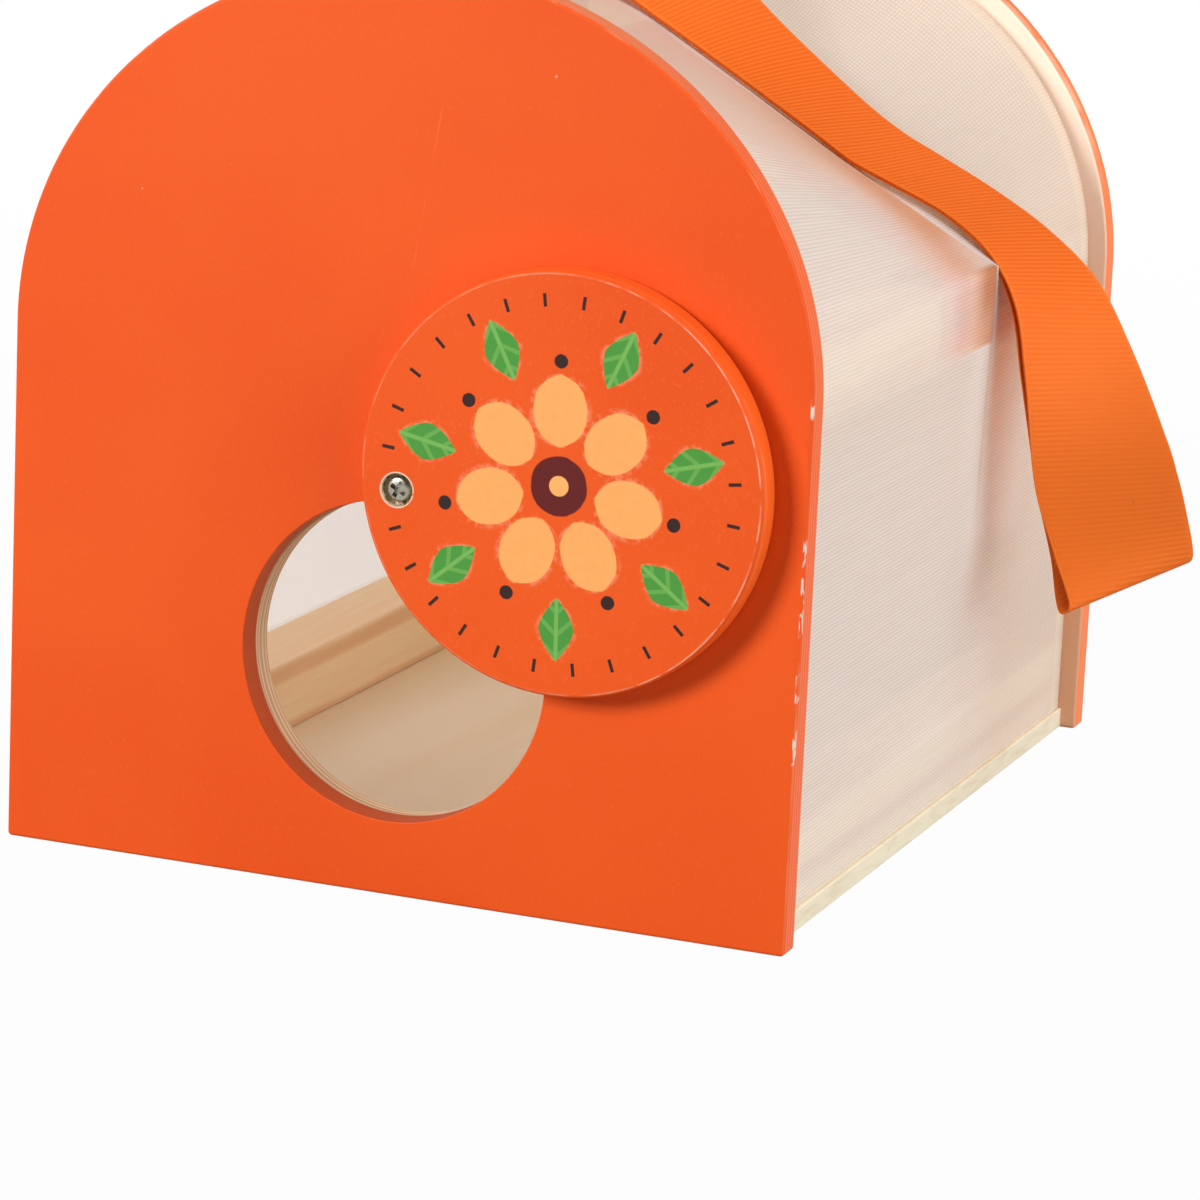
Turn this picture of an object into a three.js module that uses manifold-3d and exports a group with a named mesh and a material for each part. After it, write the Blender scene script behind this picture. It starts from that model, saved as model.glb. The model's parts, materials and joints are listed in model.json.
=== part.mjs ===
// Bug viewer: two arched plywood ends, a floor, four rails, a net sleeve, a ribbon strap and a round turning door.
// Millimetres, +Z up. The origin is on the underside of the floor, midway between the two ends.
// The front end faces -Y.
import * as THREE from "three";
import { mergeVertices } from "three/addons/utils/BufferGeometryUtils.js";
import Module from "manifold-3d";

const wasm = await Module();
wasm.setup();

// Ends
const panelWidth = 150;
const panelSpring = 95;
const panelRise = 69;
const panelThickness = 5.5;
const panelCorner = 2.5;
const panelEdge = 0.6;
const caseDepth = 184;

// Liners, a margin smaller than the panels
const linerThickness = 4.5;
const linerMargin = 4.5;

// Floor, a ledge wider than the liners
const floorThickness = 4;
const floorLedge = 1.3;
const floorEdge = 0.4;

// Rails, set in from the sides of the liners
const railSide = 14;
const railEdge = 0.5;
const lowerRailInset = 0.1;
const upperRailInset = 0.9;
const upperRailRise = 8.5;

// Door, its hole and its screw
const doorRadius = 36.9;
const doorThickness = 6;
const doorEdge = 0.7;
const pivotInset = 6.7;
const doorLift = 8;
const pivotX = 2.5;
const pivotZ = 74.6;
const holeRadius = 28.8;
const holeHeight = 42.3;
const holeEdge = 0.2;
const linerHoleDrop = 0.4;
const counterboreRadius = 2.95;
const counterboreDepth = 1.8;
const screwHeadRadius = 2.2;
const screwHeadHeight = 1.3;
const screwDomeHeight = 0.4;
const screwRadius = 1.5;
const screwLength = 13;
const crossLength = 2.6;
const crossWidth = 0.6;
const crossDepth = 0.7;

// Nails
const bradRadius = 0.6;
const bradHeadRadius = 1.1;
const bradHead = 0.8;
const bradLength = 18;
const tackRadius = 0.5;
const tackHeadRadius = 1.7;
const tackHead = 0.6;
const tackLength = 8;
const tackSpread = 13;
const tackDrop = 6.5;

// Net, drawn in along one crease that runs from a corner over each upper rail to a peak left of the middle
const netThickness = 0.4;
const creaseY = 20;
const creaseBulge = 1.7;
const creaseLift = 0.9;
const creaseRise = 51;
const creaseFade = 54;
const creaseSag = 1.6;
const creasePeak = 9.6;
const slitX = -14;
const slitWidth = 7.6;
const slitMargin = 2;
const slitHeight = 30;

// Ribbon
const ribbonWidth = 25;
const ribbonThickness = 0.5;
const ribbonTuck = 13;

// Fits
const clearance = 0.3;
const doorClearance = 0.4;
const screwClearance = 0.08;
const nailClearance = 0.1;

const frontFace = -caseDepth / 2;
const frontInner = frontFace + panelThickness;
const linerInner = frontInner + linerThickness;
const railLength = -2 * linerInner;
const linerHalf = panelWidth / 2 - linerMargin;
const linerRise = panelRise - linerMargin;
const lowerRailOuter = linerHalf - lowerRailInset;
const upperRailOuter = linerHalf - upperRailInset;
const upperRailTop = panelSpring + upperRailRise;
const creaseCornerX = linerHalf + creaseBulge;
const creaseCornerZ = upperRailTop + creaseLift;
const creaseApexZ = panelSpring + creaseRise;
const creaseSlope = (creaseApexZ - creaseCornerZ) / creaseCornerX;
const creasePeakZ = creaseApexZ + creaseSlope * creasePeak;
const creaseLeftSlope = (creasePeakZ - creaseCornerZ) / (creaseCornerX - creasePeak);

const orangePaint = new THREE.MeshStandardMaterial({ color: 0xf15b24, roughness: 0.45 });
const plywood = new THREE.MeshStandardMaterial({ color: 0xe2c49c, roughness: 0.75 });
const pine = new THREE.MeshStandardMaterial({ color: 0xd9b07c, roughness: 0.75 });
const net = new THREE.MeshStandardMaterial({ color: 0xf1e7df, roughness: 0.9 });
const ribbon = new THREE.MeshStandardMaterial({ color: 0xf57323, roughness: 0.8 });
const steel = new THREE.MeshStandardMaterial({ color: 0xb9bcc0, roughness: 0.35, metalness: 1 });

const root = new THREE.Group();
root.name = "bug_viewer";

function solid(geometry) {
  const bare = geometry.clone();
  bare.deleteAttribute("normal");
  bare.deleteAttribute("uv");
  const merged = mergeVertices(bare, 1e-4);
  const mesh = new wasm.Mesh({
    numProp: 3,
    vertProperties: new Float32Array(merged.attributes.position.array),
    triVerts: new Uint32Array(merged.index.array),
  });
  return new wasm.Manifold(mesh);
}

function place(name, body, material) {
  const mesh = body.getMesh();
  const geometry = new THREE.BufferGeometry();
  geometry.setAttribute("position", new THREE.BufferAttribute(new Float32Array(mesh.vertProperties), 3));
  geometry.setIndex(new THREE.BufferAttribute(new Uint32Array(mesh.triVerts), 1));
  const flat = geometry.toNonIndexed();
  flat.computeVertexNormals();
  const node = new THREE.Mesh(flat, material.clone());
  node.name = name;
  root.add(node);
}

// Arched outline in X and Z: straight sides with small bottom corners, then half an ellipse.
function archOutline(half, bottom, spring, rise, corner) {
  const shape = new THREE.Shape();
  shape.moveTo(-half + corner, bottom);
  shape.lineTo(half - corner, bottom);
  shape.quadraticCurveTo(half, bottom, half, bottom + corner);
  shape.lineTo(half, spring);
  shape.absellipse(0, spring, half, rise, 0, Math.PI, false, 0);
  shape.lineTo(-half, bottom + corner);
  shape.quadraticCurveTo(-half, bottom, -half + corner, bottom);
  return shape;
}

// A sheet from an outline in X and Z, its front face at the given Y, with rounded face edges.
function sheet(shape, front, thickness, edge, segments) {
  const geometry = new THREE.ExtrudeGeometry(shape, {
    depth: thickness - 2 * edge,
    bevelEnabled: edge > 0,
    bevelThickness: edge,
    bevelSize: edge,
    bevelOffset: -edge,
    bevelSegments: 3,
    curveSegments: segments,
  });
  geometry.rotateX(Math.PI / 2);
  geometry.translate(0, front + thickness - edge, 0);
  return solid(geometry);
}

// A turned piece around an axis along Y, from (radius, depth) points that start and end on the axis.
function turned(profile, segments, x, y, z) {
  const points = profile.map(([radius, depth]) => new THREE.Vector2(radius, depth));
  const geometry = new THREE.LatheGeometry(points, segments);
  geometry.translate(x, y, z);
  return solid(geometry);
}

function bar(sizeX, sizeY, sizeZ, edge, x, y, z) {
  const shape = new THREE.Shape();
  const halfX = sizeX / 2;
  const halfZ = sizeZ / 2;
  shape.moveTo(-halfX + edge, -halfZ);
  shape.lineTo(halfX - edge, -halfZ);
  shape.quadraticCurveTo(halfX, -halfZ, halfX, -halfZ + edge);
  shape.lineTo(halfX, halfZ - edge);
  shape.quadraticCurveTo(halfX, halfZ, halfX - edge, halfZ);
  shape.lineTo(-halfX + edge, halfZ);
  shape.quadraticCurveTo(-halfX, halfZ, -halfX, halfZ - edge);
  shape.lineTo(-halfX, -halfZ + edge);
  shape.quadraticCurveTo(-halfX, -halfZ, -halfX + edge, -halfZ);
  const geometry = new THREE.ExtrudeGeometry(shape, { depth: sizeY, bevelEnabled: false, curveSegments: 3 });
  geometry.rotateX(Math.PI / 2);
  geometry.translate(x, y + sizeY / 2, z);
  return solid(geometry);
}

function box(sizeX, sizeY, sizeZ, x, y, z) {
  const geometry = new THREE.BoxGeometry(sizeX, sizeY, sizeZ);
  geometry.translate(x, y, z);
  return solid(geometry);
}

// Headed nail along Y with its head at y, pointing to +Y for way 1 and to -Y for way -1.
function brad(x, y, z, way, grow) {
  const profile = [
    [0, -grow],
    [bradHeadRadius + grow, -grow],
    [bradHeadRadius + grow, bradHead + grow],
    [bradRadius + grow, bradHead + grow],
    [bradRadius + grow, bradLength - 1.5],
    [0, bradLength + grow],
  ];
  const points = profile.map(([radius, depth]) => new THREE.Vector2(radius, depth));
  const geometry = new THREE.LatheGeometry(points, 10);
  if (way < 0) {
    geometry.rotateX(Math.PI);
  }
  geometry.translate(x, y, z);
  return solid(geometry);
}

// Round headed tack along X into an upper rail. The shank points inwards.
function tack(side, y, grow) {
  const seat = upperRailOuter + 2 * clearance + ribbonThickness;
  const profile = [
    [0, -tackLength - grow],
    [tackRadius + grow, -tackLength + 1.2],
    [tackRadius + grow, -grow],
    [tackHeadRadius + grow, -grow],
    [tackHeadRadius * 0.8 + grow, tackHead * 0.7 + grow],
    [0, tackHead + grow],
  ];
  const points = profile.map(([radius, depth]) => new THREE.Vector2(radius, depth));
  const geometry = new THREE.LatheGeometry(points, 10);
  geometry.rotateZ(-side * Math.PI / 2);
  geometry.translate(side * seat, y, upperRailTop - tackDrop);
  return solid(geometry);
}

// A strip of cloth between a near and a far edge, each a smooth curve through the same number of points.
function strip(near, far, thickness, steps) {
  const nearCurve = new THREE.CatmullRomCurve3(near, false, "centripetal");
  const farCurve = new THREE.CatmullRomCurve3(far, false, "centripetal");
  const rows = (near.length - 1) * steps + 1;
  const edges = [];
  for (let i = 0; i < rows; i += 1) {
    const u = i / (rows - 1);
    edges.push([nearCurve.getPoint(u), farCurve.getPoint(u)]);
  }
  const middle = edges.map(([a, b]) => a.clone().add(b).multiplyScalar(0.5));
  const position = [];
  for (let i = 0; i < rows; i += 1) {
    const along = middle[Math.min(i + 1, rows - 1)].clone().sub(middle[Math.max(i - 1, 0)]);
    const across = edges[i][1].clone().sub(edges[i][0]);
    const lift = across.cross(along).normalize().multiplyScalar(thickness / 2);
    for (const point of [edges[i][0], edges[i][1]]) {
      position.push(...point.clone().add(lift).toArray());
      position.push(...point.clone().sub(lift).toArray());
    }
  }
  const index = [];
  const quad = (a, b, c, d) => index.push(a, b, c, a, c, d);
  quad(0, 1, 3, 2);
  for (let i = 0; i < rows - 1; i += 1) {
    const a = 4 * i;
    const b = a + 4;
    quad(a, a + 2, b + 2, b);
    quad(a + 1, b + 1, b + 3, a + 3);
    quad(a, b, b + 1, a + 1);
    quad(a + 2, a + 3, b + 3, b + 2);
  }
  const last = 4 * (rows - 1);
  quad(last, last + 2, last + 3, last + 1);
  const geometry = new THREE.BufferGeometry();
  geometry.setAttribute("position", new THREE.Float32BufferAttribute(position, 3));
  geometry.setIndex(index);
  return solid(geometry);
}

// Section of the net at one depth, from the left foot over the top to the right foot.
// The straight gable over the ribbon is blended with the arch over the liners.
function netSection(draw, inset) {
  const half = linerHalf + clearance + netThickness - inset;
  const rise = linerRise + clearance + netThickness - inset;
  const corner = creaseCornerX - inset;
  const start = Math.asin((creaseCornerZ - panelSpring) / rise);
  const count = 15;
  const points = [];
  for (let i = -count; i <= count; i += 1) {
    const turn = THREE.MathUtils.mapLinear(i, -count, count, Math.PI - start, start);
    const gableX = (corner * i) / count;
    const rightZ = creaseApexZ - creaseSlope * gableX;
    const leftZ = creaseCornerZ + creaseLeftSlope * (creaseCornerX + gableX);
    const gableZ = Math.min(rightZ, leftZ) - 1.15 * inset;
    points.push([
      THREE.MathUtils.lerp(half * Math.cos(turn), gableX, draw),
      THREE.MathUtils.lerp(panelSpring + rise * Math.sin(turn), gableZ, draw),
    ]);
  }
  const foot = floorThickness + clearance;
  const left = [];
  const right = [];
  for (const share of [0, 0.3, 0.55, 0.75, 0.9]) {
    const z = THREE.MathUtils.lerp(foot, creaseCornerZ, share);
    const bulge = draw * THREE.MathUtils.smoothstep(z, creaseCornerZ - creaseFade, creaseCornerZ);
    const x = THREE.MathUtils.lerp(half, corner, bulge);
    left.push([-x, z]);
    right.unshift([x, z]);
  }
  return [...left, ...points, ...right];
}

function netBody() {
  const front = frontInner + clearance;
  const back = -front;
  const depths = [front, linerInner];
  for (const share of [0.25, 0.5, 0.75, 0.92]) {
    depths.push(THREE.MathUtils.lerp(linerInner, creaseY, share));
  }
  depths.push(creaseY);
  for (const share of [0.15, 0.3, 0.45, 0.6, 0.8]) {
    depths.push(THREE.MathUtils.lerp(creaseY, -linerInner, share));
  }
  depths.push(-linerInner, back);
  const rows = depths.map((y) => {
    let draw = 0;
    if (y > linerInner && y <= creaseY) {
      draw = (y - linerInner) / (creaseY - linerInner);
    } else if (y > creaseY && y < -linerInner) {
      const gone = (y - creaseY) / (-linerInner - creaseY);
      draw = 1 - Math.pow(gone, creaseSag);
    }
    const outer = netSection(draw, 0).map(([x, z]) => [x, y, z]);
    const inner = netSection(draw, netThickness).map(([x, z]) => [x, y, z]);
    return [...outer, ...inner.reverse()];
  });
  const size = rows[0].length;
  const half = size / 2;
  const index = [];
  const quad = (a, b, c, d) => index.push(a, b, c, a, c, d);
  for (let i = 0; i < rows.length - 1; i += 1) {
    for (let j = 0; j < size; j += 1) {
      const next = (j + 1) % size;
      const a = i * size;
      const b = a + size;
      quad(a + j, a + next, b + next, b + j);
    }
  }
  const last = (rows.length - 1) * size;
  for (let j = 0; j < half - 1; j += 1) {
    quad(j, size - 1 - j, size - 2 - j, j + 1);
    quad(last + j, last + j + 1, last + size - 2 - j, last + size - 1 - j);
  }
  const geometry = new THREE.BufferGeometry();
  geometry.setAttribute("position", new THREE.Float32BufferAttribute(rows.flat(2), 3));
  geometry.setIndex(index);
  return solid(geometry);
}

// Ribbon route, outer strand of the loop from the slit to the fold. Each row has its near edge, its far edge
// and how far the inner strand lies under it. Y is counted from the crease.
// Out of the slit: X from the slit and height over the apex.
const rise = [
  [[-1.4, -25, 1.5], [-1.4, 0, -1.5], 2.4],
  [[-0.2, -22, 8], [0.6, 3, 8.5], 1.8],
  [[4.5, -17.5, 10], [6.5, 6.5, 14], 1.4],
  [[10.5, -13, 7.5], [13.5, 10, 15.8], 1.6],
];
// Down the net: share of the way to the corner and height over the crease.
const flank = [
  [[0.04, -9.7, 4], [0.1, 13.4, 15.5], 1.6],
  [[0.28, -8, 3.8], [0.3, 16.4, 10.4], 1.15],
  [[0.56, -5.3, 3.2], [0.54, 19.5, 6.4], 0.9],
  [[0.7, -1.6, 2.9], [0.7, 23, 6.6], 0.9],
  [[0.84, 1.3, 3.2], [0.86, 26.3, 6.3], 0.9],
];
// Over the rail and hanging free: X past the corner and height over the corner.
const drop = [
  [[-0.5, 0.5, 3.8], [2.2, 25.4, 4], 0.9],
  [[4.4, -0.7, -6.4], [13.2, 22.7, -4.4], 1.3],
  [[7.2, -1.7, -20.4], [21.8, 18.5, -16], 1.8],
  [[10.7, -1.9, -41.4], [34.2, 7.7, -34], 2.6],
  [[15.8, -4.6, -52.4], [38.2, 5.2, -43.4], 3.2],
  [[20.8, -9.5, -61.4], [39.5, 6.8, -52.5], 3.2],
];

function strapBody() {
  const nearY = creaseY - ribbonWidth;
  const farY = creaseY;
  const tuckX = upperRailOuter + clearance + ribbonThickness / 2;
  const depth = netThickness + 2 * clearance + ribbonThickness;
  const chordZ = (x) => creaseApexZ - depth - creaseSlope * Math.abs(x);
  const tucked = [
    [-tuckX, upperRailTop - ribbonTuck],
    [-tuckX, upperRailTop - 2],
    [-tuckX + 0.8, upperRailTop + clearance + ribbonThickness],
    [-tuckX + 5, chordZ(tuckX - 5)],
    [-tuckX / 2, chordZ(tuckX / 2)],
    [slitX - 6.2, chordZ(slitX - 6.2)],
  ];
  const entering = [
    [slitX - 3.2, chordZ(slitX - 3.2)],
    [slitX - 1.8, chordZ(slitX - 1.8) + 1.6],
  ];
  const leaving = [
    [slitX + 1.4, chordZ(slitX + 1.4) + 2.2],
    [slitX + 3.1, chordZ(slitX + 3.1)],
    [slitX + 5.8, chordZ(slitX + 5.8)],
    [0, chordZ(0) - clearance],
    [8, chordZ(8) - clearance],
  ];
  const inSlit = ([x, y, z]) => new THREE.Vector3(slitX + x, creaseY + y, creaseApexZ + z);
  const onFlank = ([share, y, z]) => {
    const x = share * creaseCornerX;
    return new THREE.Vector3(x, creaseY + y, creaseApexZ - creaseSlope * x + z);
  };
  const pastCorner = ([x, y, z]) => new THREE.Vector3(creaseCornerX + x, creaseY + y, creaseCornerZ + z);
  const edge = (side) => [
    ...rise.map((row) => inSlit(row[side])),
    ...flank.map((row) => onFlank(row[side])),
    ...drop.map((row) => pastCorner(row[side])),
  ];
  const spread = [...rise, ...flank, ...drop].map((row) => row[2]);
  const outerNear = edge(0);
  const outerFar = edge(1);
  const innerNear = [];
  const innerFar = [];
  const count = outerNear.length;
  for (let i = 0; i < count; i += 1) {
    const before = Math.max(i - 1, 0);
    const after = Math.min(i + 1, count - 1);
    const along = outerNear[after].clone().add(outerFar[after]).sub(outerNear[before]).sub(outerFar[before]);
    const across = outerFar[i].clone().sub(outerNear[i]);
    const under = across.cross(along).normalize().multiplyScalar(spread[i]);
    innerNear.unshift(outerNear[i].clone().add(under));
    innerFar.unshift(outerFar[i].clone().add(under));
  }
  const mirrored = tucked.map(([x, z]) => [-x, z]).reverse();
  const left = (y) => [...tucked, ...entering].map(([x, z]) => new THREE.Vector3(x, y, z));
  const right = (y) => [...leaving, ...mirrored].map(([x, z]) => new THREE.Vector3(x, y, z));
  const near = [...left(nearY), ...outerNear, ...innerNear, ...right(nearY)];
  const far = [...left(farY), ...outerFar, ...innerFar, ...right(farY)];
  return strip(near, far, ribbonThickness, 4);
}

// Ends
const panelShape = archOutline(panelWidth / 2, 0, panelSpring, panelRise, panelCorner);
const linerShape = archOutline(linerHalf, floorThickness, panelSpring, linerRise, 0.5);
const holeCutter = turned(
  [
    [0, -1],
    [holeRadius + holeEdge, -1],
    [holeRadius + holeEdge, 0],
    [holeRadius + 0.3 * holeEdge, 0.3 * holeEdge],
    [holeRadius, holeEdge],
    [holeRadius, panelThickness + 1],
    [0, panelThickness + 1],
  ],
  64, 0, frontFace, holeHeight,
);
const linerHoleCutter = turned(
  [[0, -1], [holeRadius, -1], [holeRadius, linerThickness + 1], [0, linerThickness + 1]],
  64, 0, frontInner, holeHeight - linerHoleDrop,
);
const doorBack = frontFace - doorClearance;
const doorFront = doorBack - doorThickness;
const screwSeat = doorFront + counterboreDepth;
const screwHole = turned(
  [
    [0, 0],
    [screwRadius + screwClearance, 0],
    [screwRadius + screwClearance, screwLength],
    [0, screwLength + 1.2],
  ],
  24, pivotX, screwSeat, pivotZ,
);

let frontLiner = sheet(linerShape, frontInner, linerThickness, 0, 28).subtract(linerHoleCutter);
let backLiner = sheet(linerShape, -linerInner, linerThickness, 0, 28);
const frontPanel = sheet(panelShape, frontFace, panelThickness, panelEdge, 32);
const backPanel = sheet(panelShape, -frontInner, panelThickness, panelEdge, 32);

// Rails and their brads
const lowerRailZ = floorThickness + railSide / 2;
const upperRailZ = upperRailTop - railSide / 2;
const rails = [
  ["left_lower", -lowerRailOuter + railSide / 2, lowerRailZ],
  ["right_lower", lowerRailOuter - railSide / 2, lowerRailZ],
  ["left_upper", -upperRailOuter + railSide / 2, upperRailZ],
  ["right_upper", upperRailOuter - railSide / 2, upperRailZ],
];
const tackYs = [creaseY - ribbonWidth / 2 - tackSpread / 2, creaseY - ribbonWidth / 2 + tackSpread / 2];
const headFront = frontInner + nailClearance;
let strap = strapBody();
for (const [name, x, z] of rails) {
  let rail = bar(railSide, railLength, railSide, railEdge, x, 0, z);
  const frontCut = brad(x, headFront, z, 1, nailClearance);
  const backCut = brad(x, -headFront, z, -1, nailClearance);
  frontLiner = frontLiner.subtract(frontCut);
  backLiner = backLiner.subtract(backCut);
  rail = rail.subtract(frontCut).subtract(backCut);
  if (name.endsWith("upper")) {
    const side = Math.sign(x);
    const word = side < 0 ? "left" : "right";
    tackYs.forEach((y, i) => {
      const cut = tack(side, y, nailClearance);
      rail = rail.subtract(cut);
      strap = strap.subtract(cut);
      place(`${word}_tack_${i + 1}`, tack(side, y, 0), steel);
    });
  }
  place(`${name}_rail`, rail, pine);
  place(`${name}_brad_front`, brad(x, headFront, z, 1, 0), steel);
  place(`${name}_brad_back`, brad(x, -headFront, z, -1, 0), steel);
}

place("front_panel", frontPanel.subtract(holeCutter).subtract(screwHole), orangePaint);
place("back_panel", backPanel, orangePaint);
place("front_liner", frontLiner.subtract(screwHole), plywood);
place("back_liner", backLiner, plywood);
const floorWidth = 2 * (linerHalf + floorLedge);
const floorLength = -2 * frontInner;
place("floor_board", bar(floorWidth, floorLength, floorThickness, floorEdge, 0, 0, floorThickness / 2), plywood);

// Net, with a slit for the ribbon beside the apex
const slitLength = ribbonWidth + 2 * slitMargin;
const slit = box(slitWidth, slitLength, slitHeight, slitX, creaseY - ribbonWidth / 2, creaseApexZ);
place("net_cover", netBody().subtract(slit), net);
place("carry_strap", strap, ribbon);

// Door, modelled open as it was left, and its screw
const doorAngle = THREE.MathUtils.degToRad(doorLift);
const doorArm = doorRadius - pivotInset;
const doorX = pivotX + doorArm * Math.cos(doorAngle);
const doorZ = pivotZ + doorArm * Math.sin(doorAngle);
const doorTurn = turned(
  [
    [0, 0],
    [doorRadius - doorEdge, 0],
    [doorRadius - 0.3 * doorEdge, 0.3 * doorEdge],
    [doorRadius, doorEdge],
    [doorRadius, doorThickness - doorEdge],
    [doorRadius - 0.3 * doorEdge, doorThickness - 0.3 * doorEdge],
    [doorRadius - doorEdge, doorThickness],
    [0, doorThickness],
  ],
  72, doorX, doorFront, doorZ,
);
const counterbore = turned(
  [[0, -1], [counterboreRadius, -1], [counterboreRadius, counterboreDepth], [0, counterboreDepth]],
  32, pivotX, doorFront, pivotZ,
);
place("door_disc", doorTurn.subtract(counterbore).subtract(screwHole), orangePaint);

const headBack = screwSeat - screwClearance;
const screwTurn = turned(
  [
    [0, -screwHeadHeight],
    [0.6 * screwHeadRadius, -screwHeadHeight + 0.3 * screwDomeHeight],
    [screwHeadRadius, -screwHeadHeight + screwDomeHeight],
    [screwHeadRadius, 0],
    [screwRadius, 0],
    [screwRadius, screwLength - 1],
    [0, screwLength + 0.8],
  ],
  24, pivotX, headBack, pivotZ,
);
const crossY = headBack - screwHeadHeight + crossDepth / 2 - 0.1;
const crossA = box(crossLength, crossDepth + 0.2, crossWidth, pivotX, crossY, pivotZ);
const crossB = box(crossWidth, crossDepth + 0.2, crossLength, pivotX, crossY, pivotZ);
place("pivot_screw", screwTurn.subtract(crossA.add(crossB)), steel);

export default root;
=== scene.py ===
import bpy
import bmesh
import json
from math import pi, sin, cos, radians, asin, sqrt
from mathutils import Matrix, Vector


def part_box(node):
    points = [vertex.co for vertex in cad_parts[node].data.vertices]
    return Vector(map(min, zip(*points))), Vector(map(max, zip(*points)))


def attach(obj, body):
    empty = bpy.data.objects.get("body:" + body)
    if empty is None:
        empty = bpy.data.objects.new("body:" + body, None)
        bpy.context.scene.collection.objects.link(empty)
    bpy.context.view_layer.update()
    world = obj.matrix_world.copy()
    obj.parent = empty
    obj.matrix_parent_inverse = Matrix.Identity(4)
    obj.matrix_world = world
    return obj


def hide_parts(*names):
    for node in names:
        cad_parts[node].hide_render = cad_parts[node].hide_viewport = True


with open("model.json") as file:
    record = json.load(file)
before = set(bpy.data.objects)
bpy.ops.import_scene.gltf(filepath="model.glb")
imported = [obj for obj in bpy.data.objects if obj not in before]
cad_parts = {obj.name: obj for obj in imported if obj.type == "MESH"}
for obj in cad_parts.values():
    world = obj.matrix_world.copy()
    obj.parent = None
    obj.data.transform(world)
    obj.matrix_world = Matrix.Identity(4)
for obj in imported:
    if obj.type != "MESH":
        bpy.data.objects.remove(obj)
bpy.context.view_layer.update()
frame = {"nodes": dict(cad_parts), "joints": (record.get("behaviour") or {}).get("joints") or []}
nodes = frame["nodes"]
scene = bpy.context.scene
mm = 0.001
tiny = 1e-6  # places closer than this, in metres, are one
print("frame loaded:", len(nodes), "nodes")


def inMm(corner):
    return [round(place / mm, 4) for place in corner]


def nodeBox(name):  # lowest and highest corner of a CAD node
    return [inMm(corner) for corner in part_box(name)]


def addObject(name, data):
    obj = bpy.data.objects.new(name, data)
    scene.collection.objects.link(obj)
    return obj


def addMesh(name, mesh):
    data = bpy.data.meshes.new(name)
    mesh.to_mesh(data)
    mesh.free()
    return addObject(name, data)


# camera and lamps
shot = {
    "eye": (0.3335, -0.8624, 0.2514),
    "look": (-0.34833, 0.90928, -0.22774),
    "roll": 2.62,
    "lens": 148.34,
    "sensor": 36,
}
studio = {
    "key": {"at": (-0.85, -1.4, 0.7), "size": 0.55, "watts": 26.5},
    "side": {"at": (1.2, -0.42, 0.22), "size": 0.8, "watts": 6.4},
    "right": {"at": (1.25, 0.05, 0.75), "size": 2.0, "watts": 19.5},
    "left": {"at": (-1.2, 0.35, 0.7), "size": 1.2, "watts": 8.5},
    "top": {"at": (0.3, -0.15, 1.2), "size": 0.7, "watts": 2.4},
    "back": {"at": (0, 1.3, 0.12), "size": 0.14, "watts": 15},
    "aim": (0, 0, 0.07),
    "sky": 0.08,
    "white": (1, 1, 1, 1),
    "floor": (0.25, 0.25, 0.25, 1),
    "floorSize": 6,
    "nearWhite": 0.975,
    "whiteFrom": 0.2,
    "whiteTo": 0.9,
}


def facing(at, direction):
    return Matrix.Translation(at) @ Vector(direction).to_track_quat("-Z", "Y").to_matrix().to_4x4()


cameraData = bpy.data.cameras.new("shotCamera")
cameraData.lens = shot["lens"]
cameraData.sensor_width = shot["sensor"]
camera = addObject("shotCamera", cameraData)
camera.matrix_world = facing(shot["eye"], shot["look"]) @ Matrix.Rotation(radians(shot["roll"]), 4, "Z")
scene.camera = camera
scene.view_settings.view_transform = "Standard"

for lampName in ("key", "side", "right", "left", "top", "back"):
    lamp = studio[lampName]
    lampData = bpy.data.lights.new(lampName + "Lamp", "AREA")
    lampData.energy = lamp["watts"]
    lampData.size = lamp["size"]
    toCase = Vector(studio["aim"]) - Vector(lamp["at"])
    addObject(lampName + "Lamp", lampData).matrix_world = facing(lamp["at"], toCase)
print("camera and lamps set")


# shader helpers: a number socket with operators, and one finish with its nodes
class Num:
    def __init__(self, finish, socket):
        self.finish = finish
        self.socket = socket

    def math(self, operation, first, second=0.0):
        node = self.finish.add("ShaderNodeMath", {"operation": operation}, {0: first, 1: second})
        return Num(self.finish, node.outputs[0])

    def __add__(self, other):
        return self.math("ADD", self, other)

    def __radd__(self, other):
        return self.math("ADD", other, self)

    def __sub__(self, other):
        return self.math("SUBTRACT", self, other)

    def __rsub__(self, other):
        return self.math("SUBTRACT", other, self)

    def __mul__(self, other):
        return self.math("MULTIPLY", self, other)

    def __rmul__(self, other):
        return self.math("MULTIPLY", other, self)

    def __truediv__(self, other):
        return self.math("DIVIDE", self, other)

    def __pow__(self, other):
        return self.math("POWER", self, other)

    def __abs__(self):
        return self.math("ABSOLUTE", self)

    def sine(self):
        return self.math("SINE", self)

    def cosine(self):
        return self.math("COSINE", self)

    def rounded(self):
        return self.math("ROUND", self)

    def angleTo(self, other):
        return self.math("ARCTAN2", self, other)

    def atLeast(self, other):
        return self.math("MAXIMUM", self, other)

    def wave(self, length):  # from 0 to 1 and back over each length
        return (self * (2 * pi / length)).sine() * 0.5 + 0.5


def distance(*sides):
    total = 0.0
    for side in sides:
        total = side * side + total
    return total ** 0.5


def rgb(r, g, b):
    def linear(c):
        c = c / 255
        return c / 12.92 if c <= 0.04045 else ((c + 0.055) / 1.055) ** 2.4
    return (linear(r), linear(g), linear(b), 1)


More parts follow.
